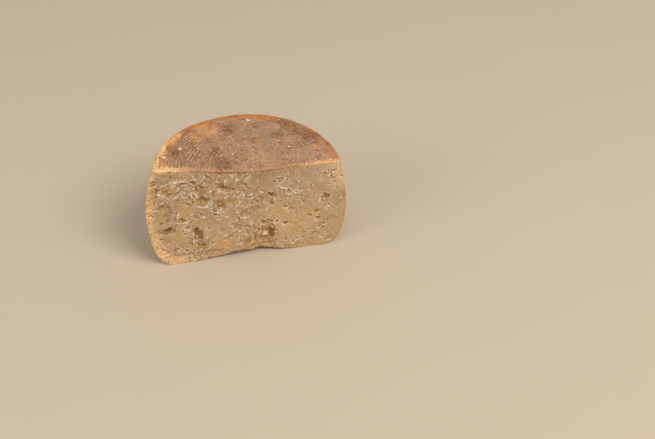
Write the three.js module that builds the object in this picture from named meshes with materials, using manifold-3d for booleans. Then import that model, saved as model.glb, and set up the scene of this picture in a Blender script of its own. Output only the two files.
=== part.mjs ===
// Half of a firm sheep's-milk cheese wheel, cut through the middle with a knife. It stands on its lower
// face, and the cut face looks towards -Y. It is one solid, because the rind is the skin of the same piece.
// Millimetres, +Z up, with the origin at the middle of the footprint.
import * as THREE from "three";
import { mergeVertices } from "three/addons/utils/BufferGeometryUtils.js";
import { ImprovedNoise } from "three/addons/math/ImprovedNoise.js";
import Module from "manifold-3d";

// The whole wheel, before it is cut
const BELLY_RADIUS = 100; // the widest ring
const BELLY_HEIGHT = 60; // and its height above the base
const HEIGHT = 112; // at the middle of the rim
const FOOT_INNER = 54; // the flat ring that it stands on
const FOOT_OUTER = 72;
const FOOT_HOLLOW = 6.5; // how far the lower face is drawn in at its middle
const TOP_RADIUS = 90; // where the rim turns into the upper face
const TOP_HOLLOW = 7.5; // how far the upper face has sunk at its middle
const HEEL_REACH = 0.48; // how far the foot runs out flat before it turns up, as a share
const HEEL_RISE = 0.03; // the height of the heel's corner, as a share of the belly's height
const SHOULDER_RISE = 0.24; // how far the side stays upright above the belly
const SHOULDER_REACH = 0.35; // how far the rim's corner stands out over the upper face

// Its unevenness
const LEAN = 0.07; // share of the height that is lost from the middle to the +X end
const SKEW = 0.055; // share by which the +X back is wider and the -X back is narrower
const DENT_DEPTH = 0.5; // soft dents left by the basket
const DENT_WAVES = [
  // how many go round the wheel, and the height over which they turn by one radian
  { around: 3, twist: 17 },
  { around: 5, twist: -29 },
];

// The cut
const CUT_WAVE = 1.3; // how far the knife wandered
const CUT_WAVE_LENGTH = 34;
const CUT_GRID = 8; // the mesh of the cut face
const CUT_MARGIN = 20; // how far the kept side's block runs past the wheel
const BETWEEN_LATTICE = 0.5; // the noise is zero on whole numbers, so it is read between them

// Fineness of the wheel's own surface
const TURN_STEPS = 92;
const CORNER_STEPS = 8;
const DISH_STEPS = 5;

// The larger openings in the paste: place on the cut face from the wheel's axis and the base, length,
// height, depth and tilt in degrees
const OPENINGS = [
  { x: -23, z: 88, length: 17, height: 5, depth: 5, tilt: -8 },
  { x: -46, z: 75, length: 14, height: 11, depth: 4, tilt: -20 },
  { x: -46, z: 84.5, length: 7.5, height: 3.5, depth: 3.5, tilt: 0 },
  { x: -65, z: 100, length: 12, height: 2.8, depth: 2.5, tilt: 5 },
  { x: -54, z: 98, length: 6.5, height: 4, depth: 3, tilt: -30 },
  { x: -77, z: 88, length: 4.5, height: 6, depth: 3, tilt: 10 },
  { x: -86, z: 73.5, length: 7, height: 5, depth: 2.5, tilt: 20 },
  { x: -66, z: 55, length: 13, height: 3, depth: 3, tilt: -10 },
  { x: -53, z: 56, length: 3.2, height: 10.5, depth: 3, tilt: 10 },
  { x: -82, z: 43.5, length: 12, height: 7.5, depth: 5.5, tilt: 0 },
  { x: -51, z: 35, length: 8.5, height: 19, depth: 5.5, tilt: 18 },
  { x: -49, z: 18, length: 12, height: 9, depth: 5.5, tilt: -28 },
  { x: -86, z: 19, length: 4.5, height: 5.5, depth: 3, tilt: 0 },
  { x: -27, z: 65.5, length: 10, height: 4, depth: 3, tilt: 4 },
  { x: -5, z: 54, length: 7, height: 5, depth: 3, tilt: 15 },
  { x: -9, z: 36.5, length: 11, height: 5.5, depth: 3, tilt: 15 },
  { x: 22, z: 73, length: 9, height: 7.5, depth: 4.5, tilt: 25 },
  { x: 23, z: 63, length: 7, height: 3, depth: 3, tilt: -20 },
  { x: 8, z: 60, length: 6, height: 4.5, depth: 3, tilt: 40 },
  { x: 17, z: 40.5, length: 11, height: 4.5, depth: 4, tilt: -5 },
  { x: 22, z: 24, length: 8, height: 13, depth: 8, tilt: 12 },
  { x: 36, z: 35, length: 3.4, height: 4, depth: 4, tilt: 0 },
  { x: 78, z: 63, length: 8, height: 6.5, depth: 2.5, tilt: -10 },
  { x: 69, z: 47, length: 5.5, height: 4, depth: 3, tilt: 0 },
  { x: 70, z: 37.5, length: 6, height: 3.4, depth: 3, tilt: 10 },
  { x: 15, z: 13, length: 25, height: 21, depth: 3.5, tilt: 0 }, // a chip that runs out of the lower edge
];
const OPENING_RAGGEDNESS = 0.68;
const OPENING_LUMP = 0.9; // waves across an opening of radius 1
const OPENING_DETAIL = 2;

// The small openings, strewn with a seeded draw and closest together in the -X half
const SMALL_OPENINGS = 30;
const SMALL_LENGTH = [2.2, 4.6];
const SMALL_FLATNESS = [0.5, 0.9]; // height as a share of length
const SMALL_DEPTH = 2;
const SMALL_TILT = 25;
const SMALL_DETAIL = 1;
const EDGE_MARGIN = 9; // they keep this far inside the rind
const SEED = 11;

const noise = new ImprovedNoise();
const wasm = await Module();
wasm.setup();

// A closed geometry as a solid for joining and cutting.
function solidOf(geometry) {
  const bare = geometry.clone();
  bare.deleteAttribute("normal");
  bare.deleteAttribute("uv");
  const merged = mergeVertices(bare, 1e-4);
  const corners = merged.index.array;
  const triVerts = [];
  for (let i = 0; i < corners.length; i += 3) {
    const [a, b, c] = corners.slice(i, i + 3);
    if (a !== b && b !== c && c !== a) triVerts.push(a, b, c);
  }
  const vertProperties = merged.attributes.position.array;
  return new wasm.Manifold(
    new wasm.Mesh({ numProp: 3, vertProperties, triVerts: new Uint32Array(triVerts) }),
  );
}

function geometryOf(solid) {
  const mesh = solid.getMesh();
  const geometry = new THREE.BufferGeometry();
  geometry.setAttribute("position", new THREE.BufferAttribute(mesh.vertProperties, 3));
  geometry.setIndex(new THREE.BufferAttribute(mesh.triVerts, 1));
  geometry.computeVertexNormals();
  return geometry;
}

// Moves every point of a geometry by a function of its place.
function reshape(geometry, move) {
  const position = geometry.attributes.position;
  const point = new THREE.Vector3();
  for (let i = 0; i < position.count; i++) {
    point.fromBufferAttribute(position, i);
    move(point);
    position.setXYZ(i, point.x, point.y, point.z);
  }
  return geometry;
}

// How far a dished face sinks at a radius, as a share of its depth: all of it in the middle, none at its edge.
function dish(radius, edge) {
  return (1 - (radius / edge) ** 2) ** 2;
}

// The wheel's outline from the axis below to the axis above, as radius and height.
function wheelOutline() {
  const points = [];
  for (let i = 0; i < DISH_STEPS; i++) {
    const radius = (FOOT_INNER * i) / DISH_STEPS;
    points.push(new THREE.Vector2(radius, FOOT_HOLLOW * dish(radius, FOOT_INNER)));
  }
  const side = new THREE.Path();
  side.moveTo(FOOT_INNER, 0);
  side.lineTo(FOOT_OUTER, 0);
  side.bezierCurveTo(
    THREE.MathUtils.lerp(FOOT_OUTER, BELLY_RADIUS, HEEL_REACH),
    0,
    BELLY_RADIUS,
    BELLY_HEIGHT * HEEL_RISE,
    BELLY_RADIUS,
    BELLY_HEIGHT,
  );
  side.bezierCurveTo(
    BELLY_RADIUS,
    THREE.MathUtils.lerp(BELLY_HEIGHT, HEIGHT, SHOULDER_RISE),
    THREE.MathUtils.lerp(TOP_RADIUS, BELLY_RADIUS, SHOULDER_REACH),
    HEIGHT,
    TOP_RADIUS,
    HEIGHT,
  );
  points.push(...side.getPoints(CORNER_STEPS));
  for (let i = DISH_STEPS - 1; i >= 0; i--) {
    const radius = (TOP_RADIUS * i) / DISH_STEPS;
    points.push(new THREE.Vector2(radius, HEIGHT - TOP_HOLLOW * dish(radius, TOP_RADIUS)));
  }
  return points;
}

// The wheel is a little out of round and dented, and thinner at its +X end. The flat foot stays flat.
function settle(point) {
  const turn = Math.atan2(point.y, point.x);
  const radius = Math.hypot(point.x, point.y);
  let settled = radius * (1 + SKEW * Math.sin(2 * turn));
  for (const { around, twist } of DENT_WAVES) {
    settled += DENT_DEPTH * (radius / BELLY_RADIUS) * Math.sin(around * turn + point.z / twist);
  }
  point.x = settled * Math.cos(turn);
  point.y = settled * Math.sin(turn);
  point.z *= 1 - (LEAN * point.x) / BELLY_RADIUS;
}

function wheel() {
  const geometry = new THREE.LatheGeometry(wheelOutline(), TURN_STEPS);
  geometry.rotateX(Math.PI / 2);
  return reshape(geometry, settle);
}

// How far the knife's cut lies from the flat plane through the axis.
function cutWave(x, z) {
  return CUT_WAVE * noise.noise(x / CUT_WAVE_LENGTH, BETWEEN_LATTICE, z / CUT_WAVE_LENGTH);
}

// The block that the half wheel is kept from: its front face is the knife's cut.
function keptSide() {
  const width = 2 * (BELLY_RADIUS + CUT_MARGIN);
  const depth = BELLY_RADIUS + CUT_MARGIN;
  const height = HEIGHT + 2 * CUT_MARGIN;
  const across = Math.round(width / CUT_GRID);
  const up = Math.round(height / CUT_GRID);
  const block = new THREE.BoxGeometry(width, depth, height, across, 1, up);
  block.translate(0, depth / 2, HEIGHT / 2);
  return reshape(block, (point) => {
    if (point.y < depth / 2) point.y = cutWave(point.x, point.z);
  });
}

// One opening in the paste: a ragged lump that is half sunk in the cut face.
function openingLump({ x, z, length, height, depth, tilt }, detail) {
  const lump = new THREE.IcosahedronGeometry(1, detail);
  reshape(lump, (point) => {
    const ragged = noise.noise(
      x + point.x / OPENING_LUMP,
      point.y / OPENING_LUMP,
      z + point.z / OPENING_LUMP,
    );
    point.multiplyScalar(1 + OPENING_RAGGEDNESS * ragged);
  });
  lump.scale(length / 2, depth, height / 2);
  lump.rotateY(THREE.MathUtils.degToRad(-tilt));
  lump.translate(x, cutWave(x, z), z);
  return solidOf(lump);
}

// A repeatable draw between 0 and 1 (the minimal standard generator).
function seededDraw(seed) {
  let state = seed;
  return () => {
    state = (state * 16807) % 2147483647;
    return state / 2147483647;
  };
}

function smallOpenings() {
  const draw = seededDraw(SEED);
  const reach = TOP_RADIUS - EDGE_MARGIN;
  const found = [];
  while (found.length < SMALL_OPENINGS) {
    const x = reach * (1 - 2 * Math.sqrt(draw()));
    const z = THREE.MathUtils.lerp(EDGE_MARGIN, HEIGHT - TOP_HOLLOW - EDGE_MARGIN, draw());
    const length = THREE.MathUtils.lerp(...SMALL_LENGTH, draw() ** 2);
    const height = length * THREE.MathUtils.lerp(...SMALL_FLATNESS, draw());
    const tilt = THREE.MathUtils.lerp(-SMALL_TILT, SMALL_TILT, draw());
    found.push({ x, z, length, height, depth: SMALL_DEPTH, tilt });
  }
  return found;
}

function halfWheel() {
  let solid = solidOf(wheel()).intersect(solidOf(keptSide()));
  for (const opening of OPENINGS) solid = solid.subtract(openingLump(opening, OPENING_DETAIL));
  for (const opening of smallOpenings()) solid = solid.subtract(openingLump(opening, SMALL_DETAIL));
  const geometry = geometryOf(solid);
  geometry.computeBoundingBox();
  const { min, max } = geometry.boundingBox;
  geometry.translate(-(min.x + max.x) / 2, -(min.y + max.y) / 2, -min.z);
  return geometry;
}

const cheese = new THREE.MeshStandardMaterial({ color: 0xb8935f, roughness: 0.7, metalness: 0 });
const half = new THREE.Mesh(halfWheel(), cheese);
half.name = "cheese_half";

const part = new THREE.Group();
part.add(half);
export default part;
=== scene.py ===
"""Half of a pecorino wheel on a pale studio floor.

The half wheel is one piece that takes the place of the CAD solid. Its drum is an outline turned through half
a circle and closed at the cut. The openings of the cut face are read from the CAD solid, and the torn paste
round them, the basket's rings and the grain of the rind are pressed into a fine mesh. Sizes are millimetres
from the wheel's axis and base until a mesh is written in metres, in the frame of the CAD.
"""

import itertools
import math

import bmesh
import bpy
import numpy as np
from bpy.props import FloatProperty, FloatVectorProperty, PointerProperty
from mathutils import Matrix, Vector
from mathutils.bvhtree import BVHTree


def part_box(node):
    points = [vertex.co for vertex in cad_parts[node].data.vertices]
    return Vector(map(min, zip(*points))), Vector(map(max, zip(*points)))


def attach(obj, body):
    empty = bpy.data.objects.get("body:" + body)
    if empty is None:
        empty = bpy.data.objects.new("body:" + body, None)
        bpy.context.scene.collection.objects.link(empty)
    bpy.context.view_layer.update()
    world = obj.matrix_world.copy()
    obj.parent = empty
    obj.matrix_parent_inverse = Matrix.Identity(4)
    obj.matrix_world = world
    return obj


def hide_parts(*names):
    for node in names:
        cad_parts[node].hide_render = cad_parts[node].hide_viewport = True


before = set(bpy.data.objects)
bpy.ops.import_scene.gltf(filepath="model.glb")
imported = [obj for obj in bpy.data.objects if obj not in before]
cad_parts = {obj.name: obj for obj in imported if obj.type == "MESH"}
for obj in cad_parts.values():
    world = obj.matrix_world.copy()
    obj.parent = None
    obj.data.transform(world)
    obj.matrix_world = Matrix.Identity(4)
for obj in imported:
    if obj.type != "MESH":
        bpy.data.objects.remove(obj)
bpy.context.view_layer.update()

bl_info = {
    "name": "Pecorino half wheel",
    "version": (1, 0, 0),
    "blender": (4, 5, 0),
    "location": "3D View > Sidebar > Pecorino",
    "description": "Models half of a basket-ringed sheep's-milk cheese wheel with a torn cut face",
    "category": "Add Mesh",
}

NODE = "cheese_half"
MM = 0.001

# The whole wheel before it is cut, as the CAD solid has it
BELLY_RADIUS = 100.0
BELLY_HEIGHT = 60.0
HEIGHT = 112.0
FOOT_INNER = 54.0
FOOT_OUTER = 72.0
FOOT_HOLLOW = 6.5
TOP_RADIUS = 90.0
TOP_HOLLOW = 7.5
HEEL_REACH = 0.48
HEEL_RISE = 0.03
SHOULDER_RISE = 0.24
SHOULDER_REACH = 0.35
LEAN = 0.07
SKEW = 0.055
DENT_DEPTH = 0.5
DENT_WAVES = ((3, 17.0), (5, -29.0))  # how many go round, and the height over which they turn by a radian
SHOULDER_START = 93.0  # from the axis above, along the outline

# Fineness of the outline, of the drum and of the finished mesh
DISH_STEPS = 40
CORNER_STEPS = 60
TURN_STEPS = 200
SKIN_STEPS = 1200
SHIFT_STEPS = 721
FIRST_VOXEL = 0.7
LAST_VOXEL = 0.55
MOST_TRIANGLES = 196000
# How readily vertices go when the mesh is thinned, from 0 to 1, how much that counts, and how far up the
# underside and how far back the cut reach
THINNING = 6e-5
CUT_GOES = 0.15
TOP_GOES = 0.4
SIDE_GOES = 0.75
UNDERSIDE = 14.0
AT_CUT = 2.0
FOOT_FLAT = 1.0  # below this height the relief doesn't sink under the floor

# The map that the cut face is worked out on
MAP_STEP = 0.4
MAP_WIDTH = 212.0
MAP_FLOOR = -6.0
MAP_TOP = 128.0
SKIN_MARGIN = 0.9  # rays into the solid keep this far inside its outline
DEEPEST = 9.0  # the deepest opening
RAY_BEND = 1.5  # how far rays are bent, for ragged openings
KNIFE_WAVER = 1.2  # what lies deeper is an opening
KNIFE_SPREAD = 8.0  # how far the knife's cut is evened out
EDGE_SPREAD = 1.2  # how far the map is carried past the outline
PUSH_REACH = 20.0  # how far behind the cut the mesh gives way to an opening that runs out of an edge

# Places on the cut face that tore when it was cut: x, z, radius
TORN_PLACES = (
    (-84, 83, 17), (-62, 101, 17), (-36, 99, 18), (-46, 80, 12), (-27, 67, 12), (-52, 56, 9), (-50, 26, 15),
    (-84, 45, 9), (-3, 55, 15), (-8, 38, 11), (16, 22, 19), (14, 66, 13), (76, 61, 7), (-88, 18, 8),
)
# Bent cracks with a pale lip, each a row of x, z
CRACKS = (
    ((29, 83), (42, 78), (46, 72), (54, 70)),
    ((-83, 100), (-69, 104), (-58, 101), (-52, 95)),
    ((-19, 30), (-10, 37), (-2, 34), (4, 41)),
)
CRACK_GAP = (0.3, 1.6)  # from the gap, darkened with painted shade, up to the crack's lip
CRACK_BEND = 1.6  # how far a crack wanders off its row
# Where large lumps of curd lie loose: x, z, radius
LOOSE_CURD = ((16, 25, 14), (1, 15, 9), (-29, 70, 6), (-50, 92, 6))
# Where the paste is golden: x, z, radius
GOLDEN_PLACES = ((34, 40, 24), (58, 34, 18), (14, 24, 14), (-30, 16, 14), (-62, 58, 13), (-78, 92, 10))
# Browned patches on it, and a painted shadow where a plate overhangs (the third row): x, z, half length, half
# height, strength
STAINS_AND_SHADOW = ((-83, 43.5, 8, 4.5, 1.0), (-92, 45, 5, 2.5, 1.0), (-51, 27, 5.5, 14, 0.4), (78, 63, 4, 3.5, 0.8))

# How large the grains of curd and the rind's pebbles are
LARGE_CURD = 6.5
CURD = 4.2
CRUMB = 2.7
FINE_CURD = 1.9
PEBBLE = 2.3

# Depths in the rind between which the relief of the paste comes in, and that of the rind fades
PASTE_STARTS = (0.25, 0.9)
RIND_ENDS = (0.15, 0.6)
RUBBED_WIDTH = 9.0  # from the middle of a rubbed rim to where it fades

# Dried curd stuck to the upper face: distance from the axis, turn, length, and which way it lies (in degrees)
FLECKS = (
    (82.6, 164.5, 4.3, -40), (73.1, 149.6, 4.4, -55), (59.1, 139, 2.8, 20), (50.3, 131.5, 2.3, 80),
    (31.8, 110, 3.2, 55), (79.4, 80, 4.4, -35), (54.8, 35, 2.5, -10), (67.7, 6.3, 2.4, 80),
)
FLECK_SHAPE = (1, 0.42, 0.3, 1)  # how a ball is scaled along, across and upwards; the last stays 1

# Patches on the upper face: amber where it was rubbed, dark where mould was brushed off, pale where it is
# dry, olive where mould is left. Each has a name, a seed for its ragged edges, and places as x, y, radius
PATCHES = (
    ("amber_patch", 113, ((-31, 65, 12), (-42, 52, 9), (76, 28, 6), (82, 12, 5), (-88, 8, 9), (30, 86, 9))),
    ("dark_patch", 127, (
        (39, 54, 7), (55, 68, 10), (63, 55, 12), (71, 42, 11), (79, 47, 6), (88, 32, 6),
        (-22, 15, 12), (-66, 32, 10), (-50, 68, 9), (-9, 69, 8), (-27, 33, 9), (0, 90, 6),
    )),
    ("pale_patch", 157, ((36, 67, 8), (43, 39, 11), (57, 18, 13), (17, 18, 13), (2, 6, 9))),
    ("olive_patch", 191, ((31, 58, 12), (46, 56, 8), (10, 64, 8), (26, 36, 9))),
)

# The camera: where it looks, in millimetres from the wheel's axis and base, and from which side
CAMERA_AIM = (81.1, 1.9, 31.0)
CAMERA_TURN = math.radians(-15.075)
CAMERA_RISE = math.radians(39.5)
CAMERA_ROLL = math.radians(2.196)
CAMERA_DISTANCE = 1024.1
SENSOR_WIDTH = 36.0

# The studio, in metres: its floor, its sky, and its soft lights, each with its share of the key's power, its
# place and its colour
FLOOR_REACH = 6.0
SKY_COLOUR = (1.0, 0.99, 0.98, 1)
SKY_STRENGTH = 0.5
LIGHT_SIZE = 1.5
LIGHT_AIM = (0, 0, 0.05)
LIGHTS = (
    ("key", 1.0, (1.1, -1.6, 2.4), (1.0, 0.99, 0.97)),
    ("fill", 0.3, (-2.2, -0.9, 1.2), (1.0, 0.99, 0.98)),
)

# --------------------------------------------------
# Sizes and colours that a user would change


def tone(red, green, blue):
    """A screen colour from 0 to 255 as the linear colour that shaders take."""
    shares = (np.array((red, green, blue)) / 255.0).tolist()
    return tuple(c / 12.92 if c <= 0.04045 else ((c + 0.055) / 1.055) ** 2.4 for c in shares)


def length_setting(name, description, default, low, high):
    return FloatProperty(
        name=name, description=description, default=default * MM, min=low * MM, max=high * MM, unit="LENGTH"
    )


def colour_setting(name, description, *shade):
    return FloatVectorProperty(
        name=name, description=description, default=tone(*shade), min=0.0, max=1.0, size=3, subtype="COLOR"
    )


class PecorinoRind(bpy.types.PropertyGroup):
    ring_pitch: length_setting("Ring pitch", "From one basket ring to the next", 3.2, 2, 6)
    ring_height: length_setting("Ring height", "How far the rings stand up", 0.42, 0, 1.5)
    pebble_height: length_setting("Pebble height", "How far the rind's pebbles stand up", 0.22, 0, 1)
    tan: colour_setting("Tan", "The lighter colour of the rind", 180, 139, 104)
    mauve: colour_setting("Mauve", "The darker colour of the rind", 120, 79, 56)
    amber: colour_setting("Amber", "The rubbed rim between the faces and the side", 194, 117, 42)


class PecorinoPaste(bpy.types.PropertyGroup):
    tear_height: length_setting("Tear height", "How far the torn paste stands up", 0.5, 0, 2)
    ivory: colour_setting("Ivory", "The paste where the knife left it smooth", 183, 154, 110)
    straw: colour_setting("Straw", "The paste's deeper colour", 171, 142, 97)
    # The fringe colour also gives the painted highlight on the crests of the torn relief
    fringe: colour_setting("Fringe", "The dry, torn edges of the openings", 238, 223, 208)
    # The hollow colour: a deeper golden tone with painted shade, laid in openings, pits, seams and crack gaps
    hollow_gold_and_shade: colour_setting("Hollow", "The inside of the openings", 164, 118, 46)


class PecorinoStage(bpy.types.PropertyGroup):
    floor: colour_setting("Floor", "The studio floor", 200, 184, 160)
    key_power: FloatProperty(
        name="Key power", description="Power of the large soft light", default=60.0, min=0.0, unit="POWER"
    )
    lens: FloatProperty(
        name="Lens", description="Focal length of the camera", default=54.96, min=10.0, unit="CAMERA"
    )


# --------------------------------------------------
# Repeatable noise on arrays of points in millimetres

TILT = np.array(Matrix.Rotation(0.7, 3, (0.4, 0.8, 0.45)))  # keeps the lumps off the axes


def draw_at(cell, seed):
    """A repeatable draw from 0 to 1 for each whole-number place."""
    x, y, z = cell.T
    mixed = x * 73856093 ^ y * 19349663 ^ z * 83492791 ^ seed * 265443576
    mixed = (mixed ^ (mixed >> 13)) * 1274126177
    mixed = mixed ^ (mixed >> 16)
    return (mixed & 0xFFFFFF) / 0xFFFFFF


def lumps(points, size, seed):
    """Smooth noise from -1 to 1, with lumps about size across."""
    places = points @ TILT / size
    cell = np.floor(places).astype(np.int64)
    share = places - cell
    share = share * share * (3 - 2 * share)
    total = np.zeros(len(points))
    for corner in itertools.product((0, 1), repeat=3):
        weight = np.prod(np.where(corner, share, 1 - share), axis=1)
        total += weight * draw_at(cell + corner, seed)
    return 2 * total - 1


def layered(points, size, layers, seed, shape=np.array):
    """Lumps with finer and fainter lumps on them, each layer shaped alike, from about -1 to 1."""
    total = sum(shape(lumps(points, size / 2**layer, seed + layer)) / 2**layer for layer in range(layers))
    return total / (2 - 2.0 ** (1 - layers))


def strands(points, size, layers, seed):
    """Thin winding ridges from 0 to 1, high where noise crosses zero."""
    return layered(points, size, layers, seed, lambda noise: (1 - np.abs(noise) * 2.2).clip(0))


def nearest_spot(points, size, seed):
    """Distance to the nearest of a crowd of spots strewn one to a cell, in cells, how much further the second
    nearest is, and the nearest one's own draw."""
    places = points @ TILT / size
    base = np.floor(places).astype(np.int64)
    nearest = np.full(len(points), 9.0)
    second = nearest.copy()
    own = np.zeros(len(points))
    for step in itertools.product((-1, 0, 1), repeat=3):
        cell = base + step
        spot = cell + np.stack([draw_at(cell, seed + axis) for axis in range(3)], axis=1)
        distance = np.linalg.norm(places - spot, axis=1)
        closer = distance < nearest
        second = np.minimum(second, np.maximum(distance, nearest))
        nearest = np.where(closer, distance, nearest)
        own = np.where(closer, draw_at(cell, seed + 3), own)
    return nearest, second - nearest, own


def ease(values, low, high):
    """0 below low, 1 above high and a smooth rise between them."""
    share = ((values - low) / (high - low)).clip(0, 1)
    return share * share * (3 - 2 * share)


# --------------------------------------------------
# The wheel's form


def dish(radius, edge):
    """How far a dished face sinks at a radius, as a share of its depth."""
    return (1 - (radius / edge) ** 2) ** 2


def blend(start, end, share):
    return start + (end - start) * share


def curve(start, first_pull, last_pull, end):
    """Points on a cubic curve, without its start."""
    share = np.linspace(0, 1, CORNER_STEPS + 1)[1:, None]
    rest = 1 - share
    corners = [np.array(corner) for corner in (start, first_pull, last_pull, end)]
    weights = (rest**3, 3 * share * rest**2, 3 * share**2 * rest, share**3)
    return sum(weight * corner for weight, corner in zip(weights, corners))


def wheel_outline():
    """The wheel's outline from the axis below to the axis above, as radius and height."""
    foot = np.linspace(0, FOOT_INNER, DISH_STEPS + 1)
    top = np.linspace(TOP_RADIUS, 0, DISH_STEPS + 1)[1:]
    belly = (BELLY_RADIUS, BELLY_HEIGHT)
    heel = curve(
        (FOOT_OUTER, 0),
        (blend(FOOT_OUTER, BELLY_RADIUS, HEEL_REACH), 0),
        (BELLY_RADIUS, BELLY_HEIGHT * HEEL_RISE),
        belly,
    )
    shoulder = curve(
        belly,
        (BELLY_RADIUS, blend(BELLY_HEIGHT, HEIGHT, SHOULDER_RISE)),
        (blend(TOP_RADIUS, BELLY_RADIUS, SHOULDER_REACH), HEIGHT),
        (TOP_RADIUS, HEIGHT),
    )
    under = np.stack([foot, FOOT_HOLLOW * dish(foot, FOOT_INNER)], axis=1)
    over = np.stack([top, HEIGHT - TOP_HOLLOW * dish(top, TOP_RADIUS)], axis=1)
    return np.concatenate([under, [(FOOT_OUTER, 0)], heel, shoulder, over])


def swell(turn, height):
    """How much wider than round the wheel is at a turn and a height."""
    dents = sum(np.sin(around * turn + height / twist) for around, twist in DENT_WAVES)
    return 1 + SKEW * np.sin(2 * turn) + DENT_DEPTH / BELLY_RADIUS * dents


def settled(points):
    """Points of the even wheel, where the uneven and leaning one has them."""
    x, y, z = points.T
    turn = np.arctan2(y, x)
    radius = np.hypot(x, y) * swell(turn, z)
    across = radius * np.cos(turn)
    return np.stack([across, radius * np.sin(turn), z * (1 - LEAN * across / BELLY_RADIUS)], axis=1)


class Skin:
    """Finds where points lie on or below the wheel's surface."""

    def __init__(self):
        outline = wheel_outline()
        steps = np.diff(outline, axis=0)
        along = np.concatenate([[0], np.cumsum(np.linalg.norm(steps, axis=1))])
        fine = np.linspace(0, along[-1], SKIN_STEPS)
        radius = np.interp(fine, along, outline[:, 0])
        height = np.interp(fine, along, outline[:, 1]) - BELLY_HEIGHT
        self.along = fine
        self.angle = np.arctan2(height, radius)
        self.reach = np.hypot(radius, height)
        tangent = np.stack([np.gradient(radius), np.gradient(height)], axis=1)
        tangent /= np.linalg.norm(tangent, axis=1)[:, None]
        self.square = (tangent[:, 1] * radius - tangent[:, 0] * height) / self.reach
        self.length = along[-1]
        self.shoulder = along[-1] - SHOULDER_START

    def find(self, points):
        """Depth below the surface, distance along the outline from the axis below, and turn."""
        x, y, z = points.T
        turn = np.arctan2(y, x)
        height = z / (1 - LEAN * x / BELLY_RADIUS)
        radius = np.hypot(x, y) / swell(turn, height)
        angle = np.arctan2(height - BELLY_HEIGHT, radius)
        reach = np.interp(angle, self.angle, self.reach)
        square = np.interp(angle, self.angle, self.square)
        depth = (reach - np.hypot(radius, height - BELLY_HEIGHT)) * square
        return depth, np.interp(angle, self.angle, self.along), turn


SKIN = Skin()


def cad_shift():
    """From the wheel's own axis and base to the CAD's frame, in millimetres."""
    outline = wheel_outline()
    turns = np.linspace(0, math.pi, SHIFT_STEPS)
    radius, height = outline[:, 0][:, None], outline[:, 1][:, None]
    ring = np.stack([radius * np.cos(turns), radius * np.sin(turns), height + 0 * turns], axis=-1)
    far = settled(ring.reshape(-1, 3)).max(axis=0)
    corner = np.array(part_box(NODE)[1]) / MM
    return np.array([corner[0] - far[0], corner[1] - far[1], 0.0])


SHIFT = cad_shift()


# --------------------------------------------------
# The cut face as a map


def soften(picture, spread):
    """A picture blurred by a spread in millimetres."""
    rows, columns = picture.shape
    across = np.fft.rfftfreq(columns, MAP_STEP)
    up = np.fft.fftfreq(rows, MAP_STEP)[:, None]
    keep = np.exp(-2 * (math.pi * spread) ** 2 * (across**2 + up**2))
    return np.fft.irfft2(np.fft.rfft2(picture) * keep, s=picture.shape)


def soften_within(picture, mask, spread):
    """A picture blurred over the places of a mask alone, and carried a little way past them."""
    return soften(picture * mask, spread) / np.maximum(soften(mask, spread), 1e-4)


def line_distance(spots, lines):
    """Distance to the nearest of some bent lines."""
    nearest = np.full(len(spots), MAP_WIDTH)
    for line in lines:
        for start, end in zip(line, line[1:]):
            way = np.subtract(end, start)
            share = ((spots - start) @ way / (way @ way)).clip(0, 1)
            nearest = np.minimum(nearest, np.linalg.norm(spots - start - share[:, None] * way, axis=1))
    return nearest


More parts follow.
